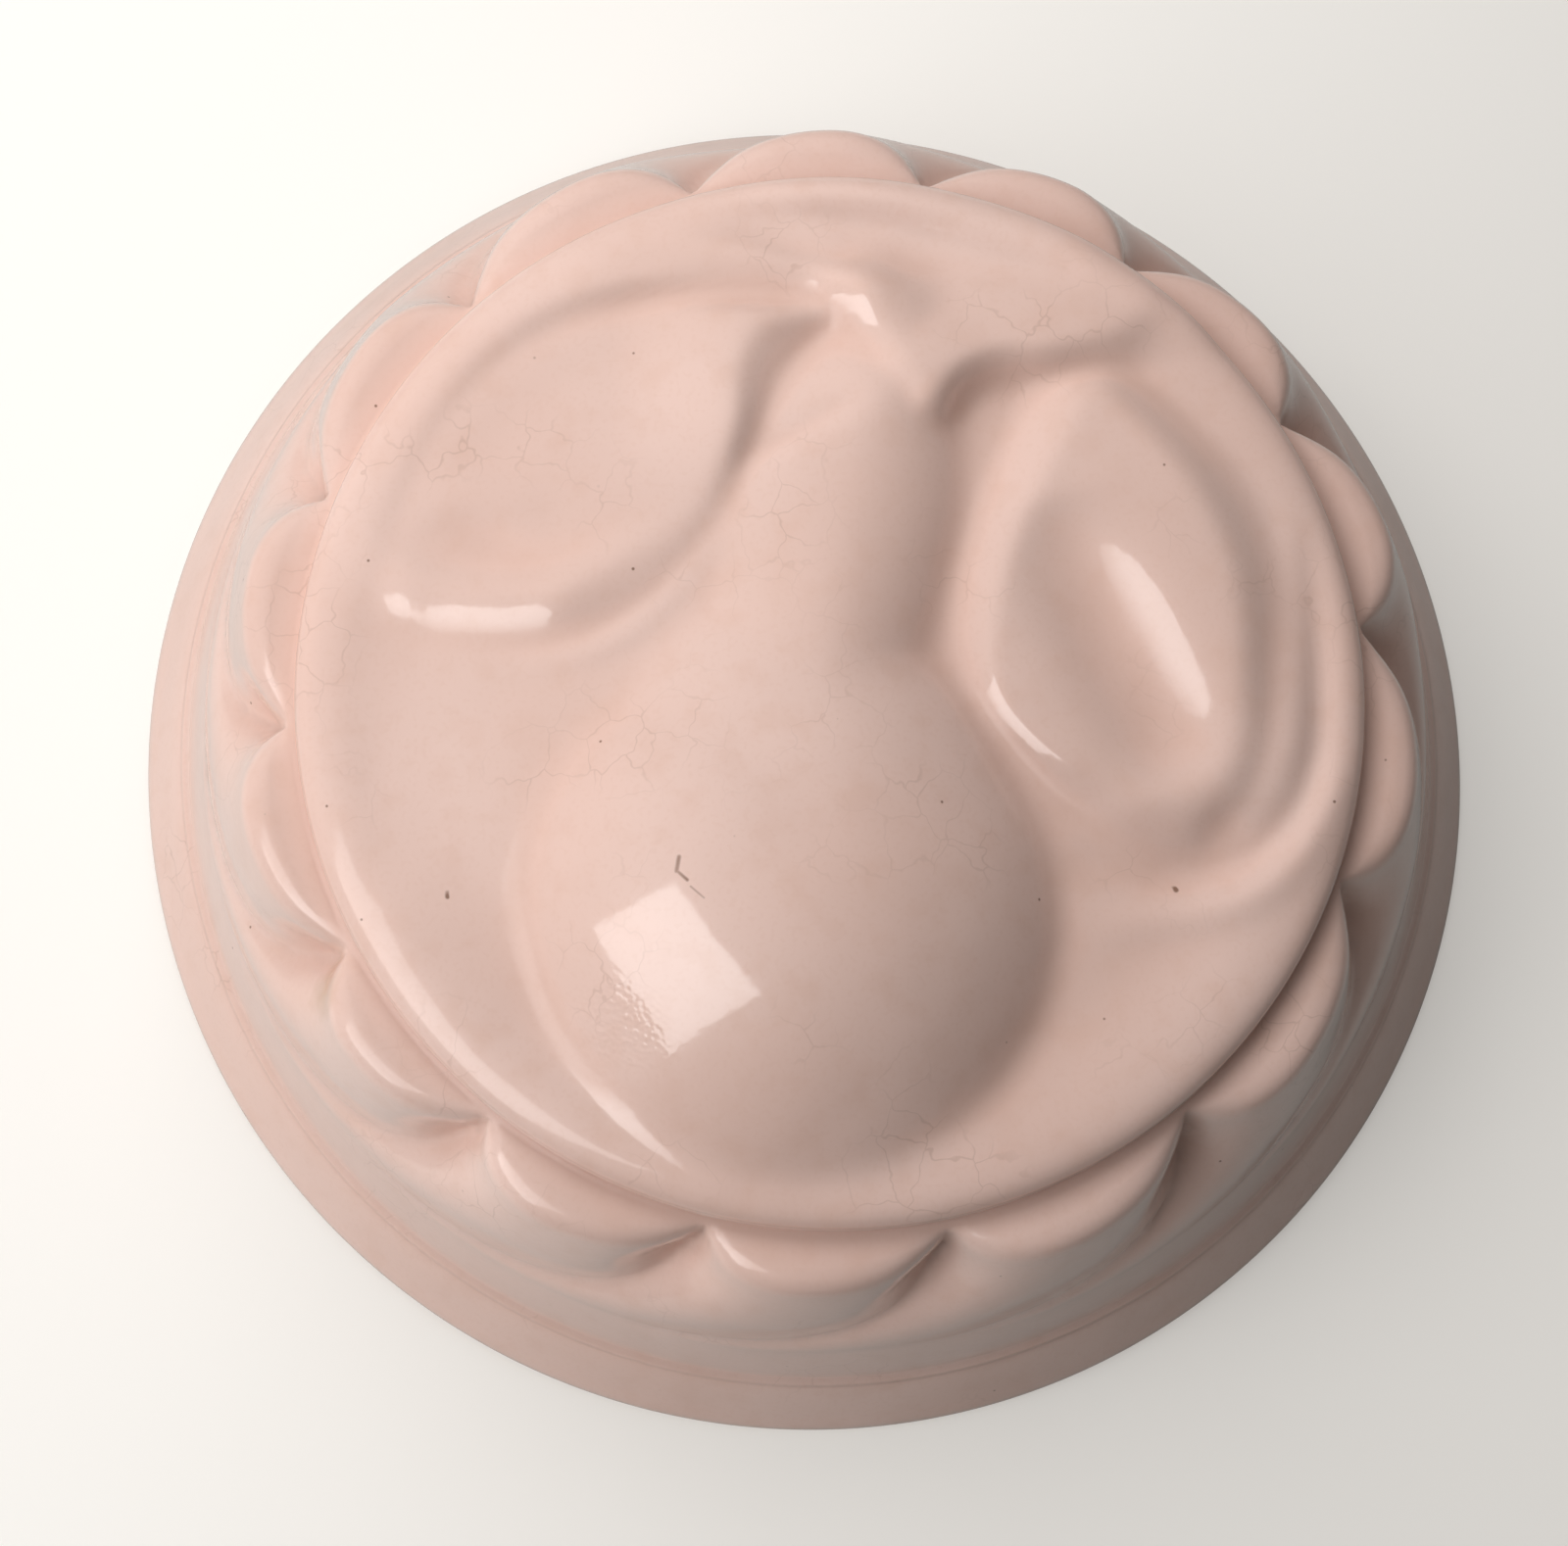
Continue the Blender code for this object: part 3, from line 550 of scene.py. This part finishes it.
def pointKinds(points, section, kinds):
    radius = np.hypot(points[:, 0], points[:, 1])
    found = np.empty(len(points), int)
    for start in range(0, len(points), 20000):
        part = slice(start, start + 20000)
        away = (radius[part, None] - section[:, 0]) ** 2 + (points[part, 2, None] - section[:, 1]) ** 2
        found[part] = away.argmin(axis=1)
    return kinds[found]


def pressLobes(points, kind, hollow):
    wall = (kind == "wall") | (kind == "insideWall")
    azimuth = np.degrees(np.arctan2(points[:, 1], points[:, 0]))
    radius = np.hypot(points[:, 0], points[:, 1])
    swell = lobeSwell(azimuth[wall], points[wall, 2])
    normal = wallNormal()
    points[wall, :2] += points[wall, :2] / radius[wall, None] * (swell * normal[0])[:, None]
    points[wall, 2] += swell * normal[1]
    outside = kind == "wall"
    # painted shade in the valleys between the lobes, more of it towards the ring
    start, length = paintedShadeSettings["wallSwell"]
    low = np.clip((lobeSwell(azimuth[outside], points[outside, 2]) - start) / length, 0.0, 1.0)
    hollow[outside] = low * fade(points[outside, 2], paintedShadeSettings["wallSpan"])


def pressTop(points, kind, hollow):
    s, shading = mouldSettings, paintedShadeSettings
    reach, step = reliefSettings["gridReach"], reliefSettings["gridStep"]
    ticks = np.linspace(-reach, reach, int(round(2.0 * reach / step)) + 1)
    relief = reliefGrid(*np.meshgrid(ticks, ticks))
    topGrid = blurGrid(relief, s["blurTop"])
    wide, fine = (blurGrid(relief, blur) for blur in shading["topBlurs"])
    # painted shade on the top, where a point lies below its wider surroundings
    creaseShade = np.clip((wide - fine) / shading["topDepth"], 0.0, 1.0)

    top = kind == "top"
    x, y = points[top, 0], points[top, 1]
    points[top, 2] += readGrid(topGrid, x, y) - s["topLevel"]
    hollow[top] = readGrid(creaseShade, x, y) * fade(np.hypot(x, y), shading["topSpan"])

    corner = kind == "corner"
    x, y, level = points[corner].T
    inwards = s["topRadius"] / np.hypot(x, y)
    shift = readGrid(topGrid, x * inwards, y * inwards) + float(ringDrop(s["topRadius"])) - s["topLevel"]
    points[corner, 2] = level + shift * fade(level, s["cornerSpan"])
    # painted shade under the shoulder ring
    hollow[corner] = fade(level, shading["undercutSpan"])

    inside = kind == "inside"
    points[inside, 2] += readGrid(blurGrid(relief, s["blurInside"]), points[inside, 0], points[inside, 1])
    points[inside, 2] -= s["topLevel"]


def pressRelief(shell, section, kinds):
    count = len(shell.data.vertices)
    points = np.empty(count * 3)
    shell.data.vertices.foreach_get("co", points)
    points = points.reshape(-1, 3) / mm
    hollow = np.zeros(count)
    kind = pointKinds(points, section, kinds)
    pressLobes(points, kind, hollow)
    pressTop(points, kind, hollow)
    collar = kind == "collar"
    level, reach, amount = paintedShadeSettings["collar"]
    # painted shade in the collar's crease
    hollow[collar] = amount * np.exp(-((points[collar, 2] - level) / reach) ** 2)
    shell.data.vertices.foreach_set("co", (points * mm).ravel())
    shell.data.attributes.new("hollow", "FLOAT", "POINT").data.foreach_set("value", hollow)
    shell.data.update()


section, kinds = halfSection()
mould = turnedShell("glazedMould", section)
pressRelief(mould, section, kinds)
bpy.ops.object.select_all(action="DESELECT")
mould.select_set(True)
bpy.context.view_layer.objects.active = mould
bpy.ops.object.shade_smooth()
print("mould turned:", len(mould.data.vertices), "points,", len(section), "rings")


# glaze: pale salmon pink over a buff body, crazed in patches, with a few brown marks, and painted shade in
# its creases and hollows.
# Places, widths and heights in millimetres, a noise's scale per millimetre
glazeSettings = {
    "colour": (0.755, 0.527, 0.452, 1.0),
    "paleColour": (0.80, 0.585, 0.515, 1.0),
    "warmColour": (0.70, 0.455, 0.365, 1.0),
    "paintedShadeColour": (0.60, 0.375, 0.30, 1.0),
    "crackColour": (0.36, 0.20, 0.14, 1.0),
    "speckColour": (0.16, 0.07, 0.035, 1.0),
    "stainColour": (0.50, 0.28, 0.15, 1.0),
    "bodyColour": (0.60, 0.46, 0.33, 1.0),
    "tones": [(0.035, 0.0, 0.4, 0.64, 0.5, "paleColour"),      # scale, detail, low, high, share, colour
              (0.22, 2.0, 0.5, 0.72, 0.3, "warmColour"),
              (1.6, 0.0, 0.56, 0.72, 0.16, "warmColour")],
    "paintedShadeShare": 0.3,
    "roughness": 0.32,
    "bodyRoughness": 0.85,
    "specular": 0.2,
    "coatIor": 1.6,
    "coatRoughness": 0.08,
    "coatInHollow": (0.55, 0.12),           # hollow where the coat is thinnest, and its weight there
    "coatOnRing": (60.5, 63.0, 66.0, 67.5, 0.5),    # radii where the rubbed ring starts and ends, weight
    "foot": (88.9, 93.0, 0.25),             # unglazed ring: inner and outer radius, level
    "footSoftness": (0.2, 0.1),
    "waves": (0.11, 0.16),                  # scale and height
    "skin": (0.9, 0.009),
    "flakes": (1.5, 0.06),
    "sparkle": ((-26.5, -43.5, 59.0), 8.0, 0.6),    # where the flakes are: centre, radius, softness
    "wobble": (0.45, 2.2),                  # how cracks and specks stray: scale and reach
    "crazing": {"cells": 0.17, "line": (0.022, 0.006), "patches": 0.055, "chosen": (0.54, 0.7),
                "share": 0.24},
    "pricks": {"cells": 0.24, "dot": (0.06, 0.03), "chosen": (0.86, 0.9)},
    "markShare": 0.82,
    "speckSoftness": 0.5,
    "specks": [((-47.6, -26.6, 54.8), 0.5), ((42.4, -25.4, 52.9), 0.5), ((38.4, -72.9, 29.8), 0.6),
               ((23.0, -8.0, 56.5), 0.5), ((-34.0, 21.0, 57.5), 0.4)],
    "stain": ((-63.0, -37.4, 45.5), 5.0, 0.9),
    "stainShare": 0.75,
    "crackCore": 0.4,
    "cracks": [((-19.6, -23.4, 65.0), (-19.9, -25.1, 65.0), 0.42),
               ((-19.7, -25.2, 65.0), (-18.6, -26.2, 65.2), 0.32),
               ((-18.2, -27.0, 65.3), (-16.6, -28.4, 65.6), 0.24),
               ((-12.3, 26.6, 58.5), (-11.2, 33.4, 58.5), 0.42),
               ((-5.4, 17.0, 59.0), (-3.4, 18.4, 59.2), 0.24),
               ((-3.4, 18.4, 59.2), (-1.4, 19.8, 59.3), 0.2)],
}


def addNode(tree, kind, sockets, **settings):
    node = tree.nodes.new(kind)
    for name, value in settings.items():
        setattr(node, name, value)
    for socket, value in sockets.items():
        if isinstance(value, bpy.types.NodeSocket):
            tree.links.new(value, node.inputs[socket])
        else:
            node.inputs[socket].default_value = value
    return node


def ramp(tree, value, low, high, toLow=0.0, toHigh=1.0):
    return addNode(tree, "ShaderNodeMapRange", {"Value": value, "From Min": low, "From Max": high,
                                                "To Min": toLow, "To Max": toHigh}).outputs["Result"]


def maths(tree, operation, first, *others):
    found = first                   # one node for each further value, in a row
    for other in others:
        found = addNode(tree, "ShaderNodeMath", {0: found, 1: other}, operation=operation).outputs[0]
    return found


def vectorMaths(tree, operation, first, second, output="Vector"):
    sockets = {0: first, ("Scale" if operation == "SCALE" else 1): second}
    return addNode(tree, "ShaderNodeVectorMath", sockets, operation=operation).outputs[output]


def noise(tree, place, scale, detail=0.0, output="Fac"):
    sockets = {"Vector": place, "Scale": scale, "Detail": detail}
    return addNode(tree, "ShaderNodeTexNoise", sockets).outputs[output]


def mixColour(tree, share, first, second):
    sockets = {0: share, 6: first, 7: second}       # a Mix node's colours are its sockets 6 and 7
    return addNode(tree, "ShaderNodeMix", sockets, data_type="RGBA").outputs[2]


def maskGroup(name, inputs):
    group = bpy.data.node_groups.new(name, "ShaderNodeTree")
    for label, kind in inputs.items():
        group.interface.new_socket(name=label, in_out="INPUT", socket_type="NodeSocket" + kind)
    group.interface.new_socket(name="Mask", in_out="OUTPUT", socket_type="NodeSocketFloat")
    return group, group.nodes.new("NodeGroupInput").outputs, group.nodes.new("NodeGroupOutput").inputs


def spotGroup():
    group, given, out = maskGroup("glazeSpot", {"Place": "Vector", "Centre": "Vector", "Radius": "Float",
                                                "Softness": "Float"})
    away = vectorMaths(group, "DISTANCE", given["Place"], given["Centre"], "Value")
    core = maths(group, "MULTIPLY", given["Radius"], maths(group, "SUBTRACT", 1.0, given["Softness"]))
    group.links.new(ramp(group, away, given["Radius"], core), out["Mask"])
    return group


def crackGroup():
    group, given, out = maskGroup("glazeCrack", {"Place": "Vector", "Start": "Vector", "End": "Vector",
                                                 "Width": "Float"})
    run = vectorMaths(group, "SUBTRACT", given["End"], given["Start"])
    here = vectorMaths(group, "SUBTRACT", given["Place"], given["Start"])
    share = maths(group, "DIVIDE", vectorMaths(group, "DOT_PRODUCT", here, run, "Value"),
                  vectorMaths(group, "DOT_PRODUCT", run, run, "Value"))
    share = addNode(group, "ShaderNodeClamp", {"Value": share}).outputs[0]
    away = vectorMaths(group, "DISTANCE", here, vectorMaths(group, "SCALE", run, share), "Value")
    core = maths(group, "MULTIPLY", given["Width"], glazeSettings["crackCore"])
    group.links.new(ramp(group, away, given["Width"], core), out["Mask"])
    return group


def spotMask(tree, group, place, centre, radius, softness):
    sockets = {"Place": place, "Centre": centre, "Radius": radius, "Softness": softness}
    return addNode(tree, "ShaderNodeGroup", sockets, node_tree=group).outputs["Mask"]


def crackMask(tree, group, place, start, end, width):
    sockets = {"Place": place, "Start": start, "End": end, "Width": width}
    return addNode(tree, "ShaderNodeGroup", sockets, node_tree=group).outputs["Mask"]


def crazingMask(tree, place, wavy):
    s = glazeSettings["crazing"]
    cells = addNode(tree, "ShaderNodeTexVoronoi", {"Vector": wavy, "Scale": s["cells"]},
                    feature="DISTANCE_TO_EDGE").outputs["Distance"]
    patches = ramp(tree, noise(tree, place, s["patches"], 1.0), *s["chosen"])
    return maths(tree, "MULTIPLY", ramp(tree, cells, *s["line"]), patches, s["share"])


def brownMarks(tree, place, wavy, spot):
    g = glazeSettings
    s = g["pricks"]
    dots = addNode(tree, "ShaderNodeTexVoronoi", {"Vector": place, "Scale": s["cells"]}).outputs
    chosen = addNode(tree, "ShaderNodeSeparateColor", {0: dots["Color"]}).outputs["Red"]
    chosen = ramp(tree, chosen, *s["chosen"])
    pricks = maths(tree, "MULTIPLY", ramp(tree, dots["Distance"], *s["dot"]), chosen)
    crack = crackGroup()
    marks = [spotMask(tree, spot, wavy, *speck, g["speckSoftness"]) for speck in g["specks"]]
    marks += [crackMask(tree, crack, place, *line) for line in g["cracks"]]
    return maths(tree, "MULTIPLY", maths(tree, "MAXIMUM", pricks, *marks), g["markShare"])


def bareFoot(tree, level, radius):
    inner, outer, top = glazeSettings["foot"]
    soft, softUp = glazeSettings["footSoftness"]
    return maths(tree, "MULTIPLY", ramp(tree, level, top + softUp, top - softUp),
                 ramp(tree, radius, inner - soft, inner + soft),
                 ramp(tree, radius, outer + soft, outer - soft))


def glazeColour(tree, place, wavy, hollow, spot):
    g = glazeSettings
    colour = g["colour"]
    for scale, detail, low, high, share, tone in g["tones"]:
        cloud = ramp(tree, noise(tree, place, scale, detail), low, high, 0.0, share)
        colour = mixColour(tree, cloud, colour, g[tone])
    # painted shade: darker glaze colour in the creases, under the shoulder ring and between the lobes' tops
    colour = mixColour(tree, maths(tree, "MULTIPLY", hollow, g["paintedShadeShare"]), colour, g["paintedShadeColour"])
    colour = mixColour(tree, crazingMask(tree, place, wavy), colour, g["crackColour"])
    stain = maths(tree, "MULTIPLY", spotMask(tree, spot, wavy, *g["stain"]), g["stainShare"])
    colour = mixColour(tree, stain, colour, g["stainColour"])
    return mixColour(tree, brownMarks(tree, place, wavy, spot), colour, g["speckColour"])


def glazeHeight(tree, place, spot):
    g = glazeSettings
    waves, skin, flakes = (maths(tree, "MULTIPLY", noise(tree, place, g[name][0]), g[name][1])
                           for name in ("waves", "skin", "flakes"))
    flakes = maths(tree, "MULTIPLY", flakes, spotMask(tree, spot, place, *g["sparkle"]))
    return maths(tree, "ADD", waves, skin, flakes)


def coatWeight(tree, hollow, radius, bare):
    full, least = glazeSettings["coatInHollow"]
    start, whole, end, gone, rubbed = glazeSettings["coatOnRing"]
    onRing = maths(tree, "MULTIPLY", ramp(tree, radius, start, whole), ramp(tree, radius, gone, end))
    return maths(tree, "MULTIPLY", ramp(tree, hollow, 0.0, full, 1.0, least),
                 ramp(tree, onRing, 0.0, 1.0, 1.0, rubbed), maths(tree, "SUBTRACT", 1.0, bare))


def pinkGlaze():
    g = glazeSettings
    material = bpy.data.materials.new("pinkGlaze")
    material.use_nodes = True
    tree = material.node_tree
    shader = tree.nodes["Principled BSDF"]
    coords = tree.nodes.new("ShaderNodeTexCoord").outputs["Object"]
    place = vectorMaths(tree, "SCALE", coords, 1.0 / mm)
    scale, reach = g["wobble"]
    stray = vectorMaths(tree, "SUBTRACT", noise(tree, place, scale, 1.0, "Color"), (0.5, 0.5, 0.5))
    wavy = vectorMaths(tree, "ADD", place, vectorMaths(tree, "SCALE", stray, reach))
    hollow = addNode(tree, "ShaderNodeAttribute", {}, attribute_name="hollow").outputs["Fac"]
    parts = addNode(tree, "ShaderNodeSeparateXYZ", {0: place}).outputs
    across = addNode(tree, "ShaderNodeCombineXYZ", {0: parts["X"], 1: parts["Y"]}).outputs[0]
    radius = addNode(tree, "ShaderNodeVectorMath", {0: across}, operation="LENGTH").outputs["Value"]
    bare = bareFoot(tree, parts["Z"], radius)
    spot = spotGroup()

    colour = mixColour(tree, bare, glazeColour(tree, place, wavy, hollow, spot), g["bodyColour"])
    tree.links.new(colour, shader.inputs["Base Color"])
    roughness = ramp(tree, bare, 0.0, 1.0, g["roughness"], g["bodyRoughness"])
    tree.links.new(roughness, shader.inputs["Roughness"])
    tree.links.new(coatWeight(tree, hollow, radius, bare), shader.inputs["Coat Weight"])
    uneven = addNode(tree, "ShaderNodeBump", {"Height": glazeHeight(tree, place, spot), "Distance": mm})
    tree.links.new(uneven.outputs["Normal"], shader.inputs["Normal"])
    tree.links.new(uneven.outputs["Normal"], shader.inputs["Coat Normal"])
    shader.inputs["Coat Roughness"].default_value = g["coatRoughness"]
    shader.inputs["Coat IOR"].default_value = g["coatIor"]
    shader.inputs["Specular IOR Level"].default_value = g["specular"]
    return material


mould.data.materials.clear()
mould.data.materials.append(pinkGlaze())
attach(mould, "root")
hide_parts("mould_body")
print("mould glazed:", len(glazeSettings["specks"]), "specks,", len(glazeSettings["cracks"]), "hair marks")


# floor, light and camera
floorSettings = {"size": 4.0, "colour": (0.62, 0.60, 0.57, 1.0), "roughness": 0.6, "lift": 0.55}


def paleFloor():
    material = bpy.data.materials.new("paleFloor")
    material.use_nodes = True
    tree = material.node_tree
    shader = tree.nodes["Principled BSDF"]
    shader.inputs["Base Color"].default_value = floorSettings["colour"]
    shader.inputs["Roughness"].default_value = floorSettings["roughness"]
    shader.inputs["Emission Color"].default_value = floorSettings["colour"]
    seen = tree.nodes.new("ShaderNodeLightPath").outputs["Is Camera Ray"]
    tree.links.new(maths(tree, "MULTIPLY", seen, floorSettings["lift"]), shader.inputs["Emission Strength"])
    return material


bpy.ops.object.select_all(action="DESELECT")
bpy.ops.mesh.primitive_plane_add(size=floorSettings["size"], location=(0.0, 0.0, 0.0))
floor = bpy.context.active_object
floor.name = "paleFloor"
floor.data.materials.append(paleFloor())
print("floor laid")

# soft lamps round the mould: azimuth and elevation in degrees, distance and size in metres, watts
lampSettings = {
    "keyLamp": {"from": (118.0, 52.0), "distance": 0.36, "size": (0.35, 0.35), "power": 0.96,
                "glossy": False},
    "lowFillLamp": {"from": (205.0, 20.0), "distance": 0.5, "size": (0.35, 0.35), "power": 0.96,
                    "glossy": False},
    "windowLamp": {"from": (205.0, 55.0), "distance": 0.6, "size": (0.33, 0.33), "power": 0.83,
                   "glossy": False},
    "windowGlint": {"from": (211.0, 53.0), "distance": 0.6, "size": (0.34, 0.36), "power": 1.2,
                    "diffuse": False},
}
roomLight = {"colour": (1.0, 0.985, 0.96, 1.0), "strength": 0.12, "backdrop": (0.86, 0.86, 0.85, 1.0)}


def direction(azimuth, elevation):
    a, e = math.radians(azimuth), math.radians(elevation)
    return Vector((math.cos(a) * math.cos(e), math.sin(a) * math.cos(e), math.sin(e)))


def softLamp(name, settings):
    light = bpy.data.lights.new(name, "AREA")
    light.shape = "RECTANGLE"
    light.size, light.size_y = settings["size"]
    light.energy = settings["power"]
    lamp = bpy.data.objects.new(name, light)
    bpy.context.scene.collection.objects.link(lamp)
    away = direction(*settings["from"])
    lamp.location = away * settings["distance"]
    lamp.rotation_euler = away.to_track_quat("Z", "Y").to_euler()
    lamp.visible_glossy = settings.get("glossy", True)
    lamp.visible_diffuse = settings.get("diffuse", True)


def softRoom():
    world = bpy.data.worlds.new("softRoom")
    bpy.context.scene.world = world
    world.use_nodes = True
    tree = world.node_tree
    tree.nodes.clear()
    room = addNode(tree, "ShaderNodeBackground", {"Color": roomLight["colour"]})
    room.inputs["Strength"].default_value = roomLight["strength"]
    backdrop = addNode(tree, "ShaderNodeBackground", {"Color": roomLight["backdrop"]})
    seen = tree.nodes.new("ShaderNodeLightPath").outputs["Is Camera Ray"]
    mix = addNode(tree, "ShaderNodeMixShader", {0: seen, 1: room.outputs[0], 2: backdrop.outputs[0]})
    addNode(tree, "ShaderNodeOutputWorld", {"Surface": mix.outputs[0]})


for lampName, settings in lampSettings.items():
    softLamp(lampName, settings)
softRoom()
print("lamps set:", ", ".join(lampSettings))

# the camera looks at its target from the photo's place; lengths in metres, angles in degrees
cameraSettings = {
    "target": (-0.0039, -0.0022, 0.0), "distance": 0.38, "azimuth": -15.6, "elevation": 80.0,
    "focalPixels": 2667.0, "imageWidth": 1600.0, "sensorWidth": 36.0, "clip": (0.01, 20.0),
}


def photoCamera():
    s = cameraSettings
    a, e = math.radians(s["azimuth"]), math.radians(s["elevation"])
    back = Vector((math.sin(a) * math.cos(e), -math.cos(a) * math.cos(e), math.sin(e)))
    level = (-back).cross(Vector((0.0, 0.0, 1.0))).normalized()
    below = (-back).cross(level)
    right = math.cos(a) * level + math.sin(a) * below       # turned so that +Y points up in the picture
    down = math.cos(a) * below - math.sin(a) * level
    data = bpy.data.cameras.new("photoCamera")
    data.sensor_width = s["sensorWidth"]
    data.lens = s["focalPixels"] / s["imageWidth"] * s["sensorWidth"]
    data.clip_start, data.clip_end = s["clip"]
    camera = bpy.data.objects.new("photoCamera", data)
    bpy.context.scene.collection.objects.link(camera)
    turned = Matrix((right, -down, back)).transposed().to_4x4()
    camera.matrix_world = Matrix.Translation(Vector(s["target"]) + back * s["distance"]) @ turned
    bpy.context.scene.camera = camera


photoCamera()
bpy.context.scene.view_settings.view_transform = "Standard"
print("camera set")

print("scene finished")
